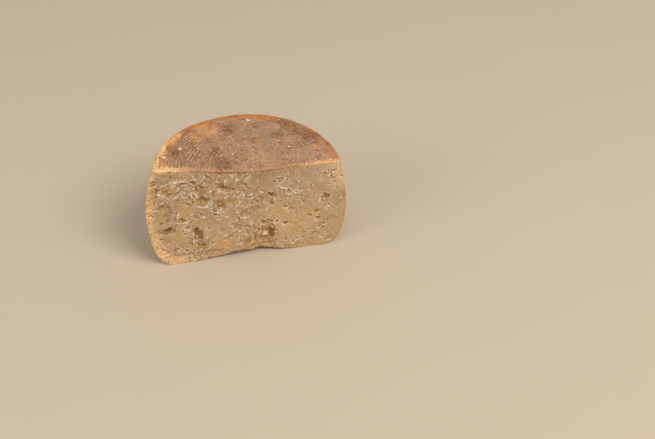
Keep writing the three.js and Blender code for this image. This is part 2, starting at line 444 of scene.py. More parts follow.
class CutMap:
    """How far the cut face lies behind the plane through the axis, and how torn it is."""

    def __init__(self, tear_height):
        across = np.arange(-MAP_WIDTH / 2, MAP_WIDTH / 2, MAP_STEP)
        self.x, self.z = np.meshgrid(across, np.arange(MAP_FLOOR, MAP_TOP, MAP_STEP))
        self.points = np.stack([self.x.ravel(), np.zeros(self.x.size), self.z.ravel()], axis=1)
        self.skin = self.spread_out(SKIN.find(self.points)[0])
        self.front = self.read_solid()
        self.opening = self.opening_depth()
        self.torn = self.torn_zone()
        self.find_curd()
        self.find_rips()
        self.find_pits()
        self.find_threads()
        self.relief = self.torn_relief(tear_height)
        # How far the relief stands above its blur: below 0 it drives painted shade in hollows, above 0 a
        # painted highlight on crests
        keen = self.relief - soften(self.relief, 1.0)
        self.hollow_gold_and_shade = self.gold_and_shade_in_hollows(keen)
        self.fringe = (self.pale_fringe(keen) * (1 - 0.8 * self.hollow_gold_and_shade)).clip(0, 1)
        self.stain_and_shadow = self.stained_and_shaded()
        self.golden = self.marked(GOLDEN_PLACES, 163)

    def spread_out(self, values):
        return values.reshape(self.x.shape)

    def read_solid(self):
        """Rays into the CAD solid, bent a little so that the openings get ragged edges."""
        tree = BVHTree.FromObject(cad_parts[NODE], bpy.context.evaluated_depsgraph_get())
        depth = self.skin.ravel()
        sideways = np.stack([layered(self.points, 4.5, 3, seed) for seed in (3, 13, 23)], axis=1)
        starts = (self.points + RAY_BEND * ease(depth, 1, 5)[:, None] * sideways + SHIFT) * MM
        starts[:, 1] = -1
        ahead = Vector((0, 1, 0))
        front = np.zeros(len(starts))
        for i in np.flatnonzero(depth > SKIN_MARGIN):
            hit = tree.ray_cast(starts[i], ahead)[0]
            front[i] = 0 if hit is None else hit.y / MM - SHIFT[1]
        uneven = 0.72 + 0.45 * layered(self.points, 6.5, 2, 29)
        front = np.where(front > 1, 1 + (front - 1) * uneven, front)
        front = self.spread_out(front.clip(-2, DEEPEST))
        inside = self.skin > SKIN_MARGIN
        return np.where(inside, front, soften_within(front, inside * 1.0, EDGE_SPREAD))

    def opening_depth(self):
        """How deep the openings are below the knife's cut."""
        knife = ((self.front < KNIFE_WAVER) & (self.skin > SKIN_MARGIN)) * 1.0
        return (self.front - soften_within(self.front, knife, KNIFE_SPREAD)).clip(0)

    def noise(self, size, layers, seed, longer=1.0):
        """Layered noise over the map, its lumps longer across than up."""
        return self.spread_out(layered(self.points / (longer, 1, 1), size, layers, seed))

    def marked(self, places, seed):
        """Ragged patches round places on the cut face, from 0 to 1."""
        ragged = 0.25 * self.noise(8, 3, seed)
        zone = np.zeros(self.x.shape)
        for x, z, radius in places:
            distance = np.hypot(self.x - x, self.z - z) / radius
            zone = np.maximum(zone, 1 - ease(distance + ragged, 0.45, 1.15))
        return zone

    def stained_and_shaded(self):
        """The browned patches and the painted shadow under an overhanging plate, from 0 to 1."""
        stain_and_shadow = np.zeros(self.x.shape)
        for x, z, half_length, half_height, strength in STAINS_AND_SHADOW:
            distance = np.hypot((self.x - x) / half_length, (self.z - z) / half_height)
            stain_and_shadow = np.maximum(stain_and_shadow, strength * (1 - ease(distance, 0.5, 1.2)))
        return stain_and_shadow * (0.7 + 0.4 * self.noise(2.5, 1, 67)).clip(0, 1)

    def torn_zone(self):
        """1 where the paste tore, 0 where the knife left it smooth."""
        zone = self.marked(TORN_PLACES, 31) * (0.75 + 0.5 * self.noise(7, 1, 31))
        loose = 0.75 - 0.7 * ease(self.x, -8, 38)
        loose *= 0.65 + 1.6 * self.noise(20, 2, 37)
        low = (1 - ease(self.z, 9, 15)) * (1 - ease(self.x, 15, 28))
        beside = ease(soften((self.opening > 0.5) * 1.0, 1.6), 0.06, 0.4)
        return ease(np.maximum.reduce([zone, loose, 0.9 * low, beside]), 0.3, 0.65)

    def uneven_points(self, size, bend_size, seed):
        """The map's points, moved about so that cells of a size get bent sides."""
        bend = np.stack([lumps(self.points, bend_size, seed + step) for step in (5, 6, 7)], axis=1)
        return self.points + 0.3 * size * bend

    def curd(self, size, seed):
        """Rounded grains of curd, 1 at their middles and 0 in the seams between them, and each one's draw."""
        _, seam, own = nearest_spot(self.uneven_points(size, size * 0.7, seed), size, seed)
        return self.spread_out(ease(seam, 0.0, 0.55)), self.spread_out(own)

    def pocks(self, size, share, seed):
        """Small lone pits from 0 to 1, in the given share of the cells of a grid."""
        points = self.uneven_points(size, size * 0.5, seed) / (1.15, 1, 1)
        distance, own = (self.spread_out(values) for values in nearest_spot(points, size, seed)[::2])
        return (1 - ease(distance, 0.12, 0.2 + 0.2 * own / np.maximum(share, 0.01))) * (own < share)

    def lips(self, mask, spread, gain, least):
        """Ragged lips round the places of a mask, from 0 to 1."""
        lip = (soften(mask, spread) * (1 - mask) * gain).clip(0, 1)
        return lip * self.ragged * blend(least, 1, self.crumbs)

    def find_curd(self):
        """Grains of curd in four sizes, where they show, and how ragged the torn edges are."""
        self.large_top, self.large_own = self.curd(LARGE_CURD, 179)
        self.grain_top, self.grain_own = self.curd(CURD, 59)
        self.fine_top, self.fine_own = self.curd(FINE_CURD, 67)
        self.crumb_top, crumb_own = self.curd(CRUMB, 149)
        self.crumbs = self.crumb_top * ease(crumb_own, 0.3, 0.6)
        self.granular = ease(self.noise(7, 3, 151) + 0.4 * self.torn, 0.3, 0.5)
        self.loose = self.marked(LOOSE_CURD, 181)
        self.ragged = (0.4 + 2.6 * self.noise(5, 3, 53)).clip(0, 1)

    def find_rips(self):
        """Hollows ripped between smeared plates, the openings' insides, the lips of both, and the cracks."""
        share = blend(-0.36, 0.03, self.torn)
        wide = ease(self.noise(9, 5, 43, 1.2) + share, -0.015, 0.02)
        narrow = ease(self.noise(4.2, 4, 47, 1.2) + share - 0.07, -0.02, 0.02)
        self.ripped = np.maximum(wide, narrow)
        self.inside = ease(self.opening, 0.5, 2.5)
        self.lip = self.lips(np.maximum(self.ripped, ease(self.opening, 0.3, 0.6)), 1.1, 4.2, 0.4)
        bend = np.stack([layered(self.points, 5, 2, seed) for seed in (167, 173)], axis=1)
        spots = self.points[:, (0, 2)] + CRACK_BEND * bend
        self.crest = self.spread_out(1 - ease(line_distance(spots, CRACKS), 0.5, 1.4))
        self.gap = self.spread_out(1 - ease(line_distance(spots + CRACK_GAP, CRACKS), 0.4, 1.1))

    def find_pits(self):
        """Lone pits, most where the paste is torn, with their lips, and pin holes, most at the right."""
        large = self.pocks(3.4, 0.012 + 0.25 * self.torn, 71)
        self.pits = np.maximum(large, self.pocks(2.1, 0.02 + 0.2 * self.torn, 79))
        self.pit_lip = self.lips(self.pits, 0.5, 3.0, 0.3) * blend(0.3, 1, self.torn)
        self.pin_holes = self.pocks(1.5, 0.03 + 0.1 * ease(self.x, -10, 30), 139)

    def find_threads(self):
        """Thin threads of torn paste, and pale clots of curd."""
        threads = self.spread_out(strands(self.points / (1.1, 1, 1), 5.5, 3, 83) ** 3)
        self.threads = threads * blend(0.35, 1, self.crumbs)
        clots = ease(self.noise(3.4, 4, 107) + 0.12 * self.torn, 0.28, 0.38)
        self.clots = clots * blend(0.2, 1, self.torn) * self.fine_top

    def ripped_floor(self):
        """How far the grainy floor of the ripped places stands out of the cut, below 0."""
        floor = -(0.3 + 0.8 * self.grain_own) - 0.9 * (1 - self.grain_top) - 0.45 * (1 - self.fine_top)
        return floor * (0.75 + 1.2 * self.noise(12, 2, 61)).clip(0.25, 1.3)

    def torn_relief(self, height):
        """How far the paste stands out of the cut."""
        relief = 0.18 * self.noise(1.8, 2, 89) + 0.5 * self.noise(11, 3, 97)
        relief += height * (0.8 * self.lip + 0.4 * self.pit_lip + 0.6 * self.threads * (0.1 + self.torn))
        relief -= np.maximum(self.pits, 0.5 * self.pin_holes)
        relief += self.granular * (0.8 * self.crumbs - 0.5 * (1 - self.crumb_top) - 0.1)
        relief = blend(relief, self.ripped_floor(), self.ripped)
        boulders = 1.2 * self.grain_top + 0.4 * self.fine_top - 0.9
        relief = blend(relief, boulders, self.inside) + 0.7 * self.clots
        heap = (1.2 + 2.2 * self.large_own) * self.large_top**0.7 - 2.4
        heap += 0.35 * self.grain_top + 0.2 * self.fine_top
        cracks = (0.7 * self.crest - 0.9 * self.gap) * blend(0.4, 1, self.ragged)
        return blend(relief, heap, self.loose) + cracks

    def gold_and_shade_in_hollows(self, keen):
        """Painted shade with a deeper golden tone where the paste sinks, from 0 to 1."""
        # Painted shade in the openings, the concave torn places, pits, seams between curd, pin holes and
        # crack gaps
        return np.maximum.reduce([
            ease(self.opening, 0.4, 3.2) * (1 - 0.4 * ease(keen, 0.1, 0.5)),
            self.ripped * blend(0.15, 0.9, ease(-keen, 0.1, 0.7)),
            0.9 * self.pits,
            0.9 * self.loose * (1 - ease(self.large_top, 0.1, 0.5)),
            0.6 * np.maximum(self.pin_holes, self.gap),
            0.5 * self.granular * (1 - self.crumb_top),
        ])

    def pale_fringe(self, keen):
        """Where torn edges and crumbs are dry and pale, with a painted highlight on crests, 0 or more."""
        fringe = 1.1 * self.lip + 0.6 * self.pit_lip + 0.85 * self.clots + 0.7 * self.granular * self.crumbs
        fringe += self.threads * blend(0.05, 1, self.torn) * self.ragged
        # A painted highlight on the crests, where the relief stands above its blur
        highlit_crests = ease(keen, 0.15, 0.7) * (0.3 + 0.5 * self.fine_own)
        fringe += np.maximum(self.ripped, self.inside) * highlit_crests
        pale_lumps = ease(self.large_top, 0.5, 0.9) * ease(self.large_own, 0.4, 0.8)
        return np.maximum.reduce([
            fringe * (1 - 0.5 * self.loose),
            0.9 * self.crest * blend(0.4, 1, self.ragged),
            0.6 * self.loose * pale_lumps,
        ])

    def at(self, picture, points):
        """A picture read at points, with the four nearest places shared."""
        rows, columns = picture.shape
        x = ((points[:, 0] + MAP_WIDTH / 2) / MAP_STEP).clip(0, columns - 1.001)
        z = ((points[:, 2] - MAP_FLOOR) / MAP_STEP).clip(0, rows - 1.001)
        column, row = x.astype(int), z.astype(int)
        x, z = x - column, z - row
        near = blend(picture[row, column], picture[row, column + 1], x)
        far = blend(picture[row + 1, column], picture[row + 1, column + 1], x)
        return blend(near, far, z)


# --------------------------------------------------
# Meshes


def read_rows(members, name):
    """Three numbers from each member of a part of a mesh."""
    flat = np.empty(len(members) * 3)
    members.foreach_get(name, flat)
    return flat.reshape(-1, 3)


def read_points(mesh):
    """A mesh's vertices in millimetres from the wheel's axis and base."""
    return read_rows(mesh.vertices, "co") / MM - SHIFT


def read_normals(mesh):
    return read_rows(mesh.vertex_normals, "vector")


def write_points(mesh, points):
    mesh.vertices.foreach_set("co", ((points + SHIFT) * MM).ravel())
    mesh.update()


def write_values(mesh, name, values):
    layer = mesh.attributes.new(name, "FLOAT", "POINT")
    layer.data.foreach_set("value", values.astype(np.float32))


def mesh_of(bm):
    """The bmesh as a mesh, with the bmesh let go."""
    mesh = bpy.data.meshes.new("mesh")
    bm.to_mesh(mesh)
    bm.free()
    return mesh


def new_piece(name, mesh, material):
    mesh.name = name
    mesh.materials.clear()
    mesh.materials.append(material)
    piece = bpy.data.objects.new(name, mesh)
    bpy.context.collection.objects.link(piece)
    return piece


def rebuilt(mesh, kind, shares=None, **settings):
    """The mesh that one modifier makes of a mesh, with a vertex group where shares are given."""
    holder = bpy.data.objects.new("holder", mesh)
    bpy.context.collection.objects.link(holder)
    modifier = holder.modifiers.new("rebuild", kind)
    if shares is not None:
        group = holder.vertex_groups.new(name="shares")
        modifier.vertex_group = group.name
        for share in np.unique(shares):
            group.add(np.flatnonzero(shares == share).tolist(), float(share), "REPLACE")
    for key, value in settings.items():
        setattr(modifier, key, value)
    shown = holder.evaluated_get(bpy.context.evaluated_depsgraph_get())
    result = bpy.data.meshes.new_from_object(shown)
    bpy.data.objects.remove(holder)
    bpy.data.meshes.remove(mesh)
    return result


def smooth_drum():
    """The half wheel with a flat cut: the outline turned through half a circle and closed."""
    bm = bmesh.new()
    outline = [bm.verts.new((radius, 0, height)) for radius, height in wheel_outline()]
    edges = [bm.edges.new(pair) for pair in zip(outline, outline[1:])]
    turned = outline + edges
    bmesh.ops.spin(bm, geom=turned, axis=(0, 0, 1), angle=math.pi, steps=TURN_STEPS)
    bmesh.ops.remove_doubles(bm, verts=bm.verts, dist=0.001)
    rim = [edge for edge in bm.edges if edge.is_boundary]
    bmesh.ops.holes_fill(bm, edges=rim)
    bmesh.ops.triangulate(bm, faces=[face for face in bm.faces if len(face.verts) > 4])
    bmesh.ops.recalc_face_normals(bm, faces=bm.faces)
    mesh = mesh_of(bm)
    write_points(mesh, settled(read_rows(mesh.vertices, "co")))
    return mesh


def press_openings(mesh, cut):
    """Moves the cut face back to where the knife and the openings have it."""
    points = read_points(mesh)
    near = (1 - points[:, 1] / PUSH_REACH).clip(0, 1) ** 2
    points[:, 1] += cut.at(cut.front, points) * near
    write_points(mesh, points)


def ring_waves(points, along, turn, pitch):
    """The basket's rings from -1 to 1, and how clear they are."""
    bending = 1.6 * lumps(points, 34, 71) + 0.9 * lumps(points, 9, 73) + 0.6 * lumps(points, 4, 75)
    wave = np.cos(2 * math.pi * along / pitch + bending)
    from_axis = np.minimum(along, SKIN.length - along)
    on_top = ease(along, SKIN.shoulder - 8, SKIN.shoulder + 4)
    left = ease(-np.cos(turn), -0.35, 0.7)
    clear_top = blend(0.16, 1, left) * ease(from_axis, 12, 48)
    clear_side = 0.75 + 0.35 * lumps(points, 24, 79)
    clear = blend(clear_side, clear_top, on_top).clip(0, 1)
    at_cut = blend(0.45, 1, ease(points[:, 1], 3, 22))
    clear *= blend(1, at_cut, on_top) * (0.6 + 0.8 * layered(points, 9, 2, 83)).clip(0.08, 1)
    return wave, clear


def patches(points, places, seed):
    """Ragged patches round places on the upper face, from 0 to 1."""
    total = np.zeros(len(points))
    ragged = layered(points, 11, 4, seed)
    for x, y, radius in places:
        distance = np.hypot(points[:, 0] - x, points[:, 1] - y) / radius
        total = np.maximum(total, 1 - ease(distance + ragged, 0.45, 1.25))
    return total


def rind_relief(points, along, turn, settings):
    """How far the rind stands up, and its rings."""
    wave, clear = ring_waves(points, along, turn, settings.ring_pitch / MM)
    rings = wave * clear
    distance, _, own = nearest_spot(points, PEBBLE, 89)
    pebbles = (1 - ease(distance, 0.15, 0.75)) * (0.4 + 0.6 * own) * (1.1 - 0.6 * clear)
    rise = settings.ring_height / MM * 0.5 * (rings - 0.4 * clear)
    rise += settings.pebble_height / MM * (pebbles - 0.4)
    rise += 0.16 * lumps(points, 12, 97) + 0.12 * lumps(points, 1.5, 101)
    return rise, rings


def write_wear(mesh, points, along):
    """Writes where the rind is patched, rubbed and worn, and where its side is."""
    on_top = ease(along, SKIN.shoulder - 22, SKIN.shoulder - 10)
    for name, seed, places in PATCHES:
        write_values(mesh, name, patches(points, places, seed) * on_top)
    rims = (SKIN.shoulder + 1, FOOT_OUTER + 8)
    write_values(mesh, "rim", sum(np.exp(-(((along - rim) / RUBBED_WIDTH) ** 2)) for rim in rims))
    above_foot = ease(along, FOOT_OUTER + 6, FOOT_OUTER + 24)
    write_values(mesh, "side", above_foot * (1 - ease(along, SKIN.shoulder - 10, SKIN.shoulder)))
    across = np.abs(points[:, 0] + 4 * lumps(points, 8, 109))
    write_values(mesh, "worn_edge", ease(across, 38, 78))


def press_relief(mesh, cut, settings):
    """Raises the fine relief and writes what the material reads at each vertex."""
    points = read_points(mesh)
    depth, along, turn = SKIN.find(points)
    inner = ease(depth, *PASTE_STARTS)
    outer = 1 - ease(depth, *RIND_ENDS)
    rise, rings = rind_relief(points, along, turn, settings)
    torn = cut.at(cut.relief, points) + 0.07 * lumps(points, 1.1, 103)
    moved = points + read_normals(mesh) * (inner * torn + outer * rise)[:, None]
    moved[:, 2] = np.where(points[:, 2] < FOOT_FLAT, np.maximum(moved[:, 2], 0), moved[:, 2])
    write_points(mesh, moved)
    write_wear(mesh, points, along)
    write_values(mesh, "rings", rings)
    write_values(mesh, "skin_depth", depth)
    write_values(mesh, "behind_cut", (points[:, 1] - cut.at(cut.front, points)).clip(0, PUSH_REACH))
    for name in ("fringe", "hollow_gold_and_shade", "stain_and_shadow", "torn", "golden"):
        write_values(mesh, name, cut.at(getattr(cut, name), points) * inner)


def thinning(mesh):
    """How readily each vertex may go: the cut face keeps most, the underside and the back least."""
    points = read_points(mesh)
    share = np.where(read_normals(mesh)[:, 2] > 0.5, TOP_GOES, SIDE_GOES)
    share = np.where(points[:, 2] < UNDERSIDE, 1.0, share)
    return np.where(points[:, 1] < AT_CUT, CUT_GOES, share)


def half_wheel_mesh(rind, paste):
    cut = CutMap(paste.tear_height / MM)
    mesh = rebuilt(smooth_drum(), "REMESH", mode="VOXEL", voxel_size=FIRST_VOXEL * MM)
    press_openings(mesh, cut)
    mesh = rebuilt(mesh, "REMESH", mode="VOXEL", voxel_size=LAST_VOXEL * MM)
    press_relief(mesh, cut, rind)
    ratio = MOST_TRIANGLES / (2 * len(mesh.polygons))
    thinned = {"ratio": ratio, "use_collapse_triangulate": True, "vertex_group_factor": THINNING}
    mesh = rebuilt(mesh, "DECIMATE", thinning(mesh), **thinned)
    mesh.shade_smooth()
    return mesh


# --------------------------------------------------
# Materials

# Spots of colour: the size, detail, roughness and distortion of their noise, the noise at which they start
# and at which they are full, their strength, and their colour
LILAC_SPOTS = (2.9, 3, 0.75, 0.8, 0.5, 0.6, 0.6, (186, 153, 144))
GOLD_SPOTS = (3.3, 3, 0.75, 0.8, 0.5, 0.6, 0.75, (180, 132, 74))
PLUM_CLOUDS = (26, 4, 0.65, 0.6, 0.47, 0.6, 1.0, (148, 102, 80))
TANNED_STROKES = (3.2, 4, 0.7, 0.0, 0.45, 0.62, 0.7, (172, 106, 52))
GILDED_STROKES = (2.7, 4, 0.7, 0.0, 0.52, 0.66, 0.7, (234, 168, 92))
DARK_SPOTS = (2.3, 3, 0.65, 0.5, 0.55, 0.7, 0.5, (88, 58, 40))
PALE_SPECKS = (2.2, 3, 0.65, 0.8, 0.55, 0.66, 0.65, (224, 176, 116))
ROSY_SPOTS = (2.2, 3, 0.8, 0.0, 0.47, 0.62, 0.5, (198, 166, 152))
OLIVE_SPOTS = (2.3, 3, 0.8, 0.6, 0.47, 0.62, 0.4, (172, 144, 70))
PALE_GRAINS = (1.5, 2, 0.6, 0.6, 0.5, 0.66, 0.5, (216, 190, 160))
DARK_GRAINS = (1.7, 2, 0.6, 0.6, 0.5, 0.36, 0.5, (150, 122, 72))

# The two shades that some things run between
TEETH = (tone(190, 126, 70), tone(250, 204, 138))
BEADS = (tone(172, 110, 66), tone(252, 208, 146))
DRIED_CURD = (tone(214, 180, 142), tone(255, 242, 222))
BRUSHED_MOULD = (0.5, 0.385, 0.3)  # what the rind is multiplied by where mould was brushed off


class Finish:
    """A material with a Principled shader, and short ways to add nodes to it."""

    def __init__(self, name):
        self.material = bpy.data.materials.new(name)
        self.material.use_nodes = True
        self.nodes = self.material.node_tree.nodes
        self.nodes.clear()
        self.shader = self.nodes.new("ShaderNodeBsdfPrincipled")
        self.node("OutputMaterial", {"Surface": self.shader.outputs["BSDF"]})
        self.place = self.node("TexCoord", {})["Object"]
        self.x, _, self.z = self.node("SeparateXYZ", {"Vector": self.place})

    def join(self, value, socket):
        """Links a socket, or sets a plain value."""
        if isinstance(value, bpy.types.NodeSocket):
            self.material.node_tree.links.new(value, socket)
        elif isinstance(value, tuple) and len(value) == 3 and len(socket.default_value) == 4:
            socket.default_value = (*value, 1.0)
        else:
            socket.default_value = value

    def give(self, values, node=None):
        """Links or sets sockets of a node, or of the shader, by their names or numbers."""
        for key, value in values.items():
            self.join(value, (node or self.shader).inputs[key])

    def node(self, kind, values, **settings):
        """The outputs of a new node with these settings and inputs."""
        node = self.nodes.new("ShaderNode" + kind)
        for key, value in settings.items():
            setattr(node, key, value)
        self.give(values, node)
        return node.outputs

    def read(self, name):
        """A value that the mesh has at each vertex."""
        return self.node("Attribute", {}, attribute_name=name)["Fac"]

    def combine(self, operation, first, second=0.0):
        return self.node("Math", {0: first, 1: second}, operation=operation)[0]

    def plus(self, first, second):
        return self.combine("ADD", first, second)

    def times(self, first, *others):
        for other in others:
            first = self.combine("MULTIPLY", first, other)
        return first

    def range(self, value, low, high, start=0.0, end=1.0):
        """Maps low to high onto start to end, eased and clamped."""
        values = dict(enumerate((value, low, high, start, end)))
        return self.node("MapRange", values, interpolation_type="SMOOTHSTEP")[0]

    def across(self, low, high, start=0.0, end=1.0):
        """Start to end between two places across the cut, in millimetres."""
        return self.range(self.x, low * MM, high * MM, start, end)

    def up(self, low, high, start=0.0, end=1.0):
        """Start to end between two heights, in millimetres."""
        return self.range(self.z, low * MM, high * MM, start, end)

    def round_place(self, longer):
        """Places measured from the wheel's axis and round it, so that marks lie longer round than across."""
        centred = self.node("Mapping", {"Vector": self.place, "Location": tuple(-SHIFT * MM)})
        x, y, z = self.node("SeparateXYZ", {"Vector": centred[0]})
        radius = self.combine("SQRT", self.plus(self.times(x, x), self.times(y, y)))
        turn = self.times(self.combine("ARCTAN2", y, x), TOP_RADIUS * MM / longer)
        return self.node("CombineXYZ", {"X": radius, "Y": turn, "Z": z})[0]

    def cloud(self, size, detail=3.0, roughness=0.55, distortion=0.0, where=None):
        """Noise with lumps about size millimetres across."""
        values = {"Vector": where or self.place, "Scale": 1 / (size * MM), "Detail": detail}
        return self.node("TexNoise", {**values, "Roughness": roughness, "Distortion": distortion})["Fac"]

    def grains(self, size):
        """Distance from the middle of soft cells about size millimetres across."""
        values = {"Vector": self.place, "Scale": 1 / (size * MM)}
        return self.node("TexVoronoi", values, feature="SMOOTH_F1")["Distance"]

    def mix(self, share, first, second, kind="MIX"):
        """Two colours mixed; a Mix node's colours are its inputs 6 and 7 and its output 2."""
        return self.node("Mix", {0: share, 6: first, 7: second}, data_type="RGBA", blend_type=kind)[2]

    def spotted(self, colour, spots, mask=1.0, where=None):
        """A colour with spots of another on it, as strong as the mask lets them be."""
        *noise, low, high, strength, shade = spots
        share = self.range(self.cloud(*noise, where), low, high, 0, strength)
        return self.mix(self.times(share, mask), colour, tone(*shade))

    def relief(self, height, distance, **under):
        return self.node("Bump", {"Height": height, "Distance": distance * MM, **under})["Normal"]


def rind_ground(finish, settings, mottle, strokes, round_place):
    """Tan and brown, mottled, with spots of lilac and gold."""
    broad = finish.range(finish.cloud(20, 5, 0.65, 0.8), 0.4, 0.6)
    share = finish.plus(finish.times(broad, 0.22), finish.times(mottle, 0.38))
    share = finish.range(finish.plus(share, finish.times(strokes, 0.4)), 0.1, 0.9)
    colour = finish.mix(share, tuple(settings.mauve), tuple(settings.tan))
    colour = finish.spotted(colour, LILAC_SPOTS, finish.across(-65, -25, 0.4, 1), round_place)
    return finish.spotted(colour, GOLD_SPOTS)


def patched(finish, colour, mottle, strokes):
    """Pale, olive and amber patches on the upper face."""
    for name, marks, least, most, shade in (
        ("pale_patch", mottle, 0.1, 0.4, (204, 164, 124)),
        ("olive_patch", strokes, 0.7, 0.3, (146, 124, 92)),
        ("amber_patch", strokes, 0.25, 0.85, (222, 156, 86)),
    ):
        share = finish.times(finish.read(name), finish.range(marks, 0, 1, least, most))
        colour = finish.mix(share, colour, tone(*shade))
    return colour


def ringed(finish, colour):
    """Dark in the grooves of the rings and light on their tops, and redder on the side."""
    rings = finish.read("rings")
    colour = finish.mix(finish.range(rings, 0.1, -0.8, 0, 0.68), colour, tone(108, 62, 38))
    colour = finish.mix(finish.range(rings, 0.1, 0.8, 0, 0.5), colour, tone(210, 156, 118))
    side = finish.range(finish.read("side"), 0.1, 0.9, 0, 0.55)
    colour = finish.mix(side, colour, tone(206, 150, 98))
    return finish.spotted(colour, PLUM_CLOUDS, side)


def rim_colour(finish, settings, rubbed):
    """The rubbed rim: amber in the middle, golden and cream at the left, tan at the right, brushed round."""
    colour = finish.mix(finish.across(-60, -30, 1, 0), tuple(settings.amber), tone(250, 184, 106))
    colour = finish.mix(finish.across(45, 75, 0, 0.75), colour, tone(192, 132, 78))
    cream = finish.times(finish.across(-84, -64, 1, 0), finish.range(rubbed, 0.3, 0.9))
    colour = finish.mix(cream, colour, tone(255, 208, 144))
    colour = finish.spotted(colour, TANNED_STROKES, where=finish.round_place(5.0))
    return finish.spotted(colour, GILDED_STROKES, finish.across(-60, 0, 1, 0.5), finish.round_place(4.5))


def marked_rind(finish, colour, mottle, rubbed):
    """Dark patches and spots, pale creases and specks, fewer on the rubbed rim."""
    dull = finish.times(finish.read("dark_patch"), finish.range(mottle, 0, 1, 0.85, 0.55))
    colour = finish.mix(dull, colour, BRUSHED_MOULD, "MULTIPLY")
    colour = finish.spotted(colour, DARK_SPOTS)
    calm = finish.range(rubbed, 0.2, 0.8, 1, 0.3)
    crease = finish.combine("ABSOLUTE", finish.plus(finish.cloud(6, 3, 0.6, 2.5), -0.5))
    crease = finish.times(finish.range(crease, 0.0, 0.03, 0.35, 0), calm)
    colour = finish.mix(crease, colour, tone(206, 166, 134))
    return finish.spotted(colour, PALE_SPECKS, calm)


def worn_colour(finish):
    """The worn rind beside the cut: amber to cream in uneven teeth, palest at the left corner."""
    teeth = finish.range(finish.cloud(1.8, 3, 0.7, 1.0), 0.35, 0.65, -1.0, 1.0)
    teeth = finish.plus(teeth, finish.times(finish.read("rings"), 0.6))
    colour = finish.mix(finish.range(teeth, -0.9, 0.6), *TEETH)
    corner = finish.range(finish.cloud(3.4, 4, 0.8, 0.8), 0.42, 0.6, 0.1, 0.8)
    return finish.mix(finish.times(finish.across(-60, -86), corner), colour, tone(255, 224, 162))


def edged(finish, colour):
    """The rind beside the cut: worn towards the sides, with a thin dark line in the middle."""
    worn = finish.read("worn_edge")
    behind_cut = finish.read("behind_cut")
    behind = finish.plus(behind_cut, finish.range(finish.cloud(3, 4, 0.7), 0.3, 0.7, 2.2, -2.2))
    reach = finish.combine("SUBTRACT", behind, finish.across(-40, 40, 6.8, 3.6))
    colour = finish.mix(finish.times(finish.range(reach, 1.2, -1.2), worn), colour, worn_colour(finish))
    strip = finish.times(finish.range(behind, 1.5, 3.0), finish.range(behind, 6.0, 4.0, 0, 0.5))
    colour = finish.mix(strip, colour, tone(212, 160, 116))
    line = finish.times(finish.range(behind_cut, 2.2, 0.8), finish.range(worn, 0, 0.6, 0.8, 0))
    return finish.mix(line, colour, tone(140, 80, 34))


def rind_colour(finish, settings):
    """Mottled tan and brown, ringed and patched, amber on the rubbed rim and worn beside the cut."""
    round_place = finish.round_place(4.0)
    mottle = finish.range(finish.cloud(3.0, 5, 0.85, 1.2), 0.4, 0.6)
    strokes = finish.range(finish.cloud(3.6, 4, 0.75, 0.6, round_place), 0.4, 0.6)
    colour = rind_ground(finish, settings, mottle, strokes, round_place)
    colour = ringed(finish, patched(finish, colour, mottle, strokes))
    brushed = finish.range(finish.cloud(5, 4, 0.75, 0.0, finish.round_place(6.0)), 0.38, 0.6, 0.3, 1.2)
    rubbed = finish.times(finish.read("rim"), brushed)
    colour = finish.mix(finish.range(rubbed, 0.08, 0.85), colour, rim_colour(finish, settings, rubbed))
    return edged(finish, marked_rind(finish, colour, mottle, rubbed))


def paste_ground(finish, settings):
    """Straw to ivory, deeper below and in the golden places, with rosy and olive spots."""
    share = finish.range(finish.cloud(22, 3, 0.5), 0.35, 0.65)
    colour = finish.mix(share, tuple(settings.straw), tuple(settings.ivory))
    colour = finish.mix(finish.up(75, 30, 0, 0.75), colour, tone(198, 163, 114))
    colour = finish.mix(finish.times(finish.read("golden"), 0.6), colour, tone(214, 172, 102))
    return finish.spotted(finish.spotted(colour, ROSY_SPOTS), OLIVE_SPOTS)


def paste_zones(finish, colour):
    """Paler at the upper right, dusky along the top where the knife left the paste smooth."""
    paler = finish.times(finish.across(10, 60), finish.up(70, 95, 0, 0.4))
    colour = finish.mix(paler, colour, tone(208, 180, 150))
    corner = finish.times(finish.across(76, 90), finish.up(64, 80, 0, 0.7))
    colour = finish.mix(corner, colour, tone(224, 192, 146))
    smooth = finish.range(finish.read("torn"), 0.0, 0.6, 1, 0)
    between = finish.times(finish.across(-92, -70), finish.across(55, 75, 1, 0))
    dusky = finish.times(smooth, finish.up(82, 98, 0, 0.42), between)
    return finish.mix(dusky, colour, tone(146, 116, 76))


def paste_grain(finish, colour, dust):
    """Fine pale and dark grains, most at the right, and flour where the paste is torn."""
    right_half = finish.across(-30, 20, 0.4, 1)
    colour = finish.spotted(finish.spotted(colour, PALE_GRAINS, right_half), DARK_GRAINS, right_half)
    flour = finish.range(finish.cloud(2.4, 4, 0.75, 1.0), 0.53, 0.65)
    dusted = finish.range(finish.read("torn"), 0.1, 0.9, 0, 0.8)
    dusted = finish.combine("MAXIMUM", finish.across(0, 30, 0.08, 0.3), dusted)
    return finish.mix(finish.times(flour, dusted), colour, dust)


def paste_colour(finish, settings):
    """The paste: pale fringes, painted highlights, golden brown hollows with painted shade, browned patches,
    a painted shadow.
    """
    colour = paste_zones(finish, paste_ground(finish, settings))
    colour = paste_grain(finish, colour, tuple(settings.fringe))
    for name, strength, shade in (
        ("fringe", 0.95, tuple(settings.fringe)),
        # Painted shade in the hollows, with their deeper golden tone
        ("hollow_gold_and_shade", 0.8, tuple(settings.hollow_gold_and_shade)),
        # Browned patches, and one painted shadow under an overhanging plate
        ("stain_and_shadow", 0.75, tone(142, 100, 60)),
    ):
        colour = finish.mix(finish.times(finish.read(name), strength), colour, shade)
    return colour


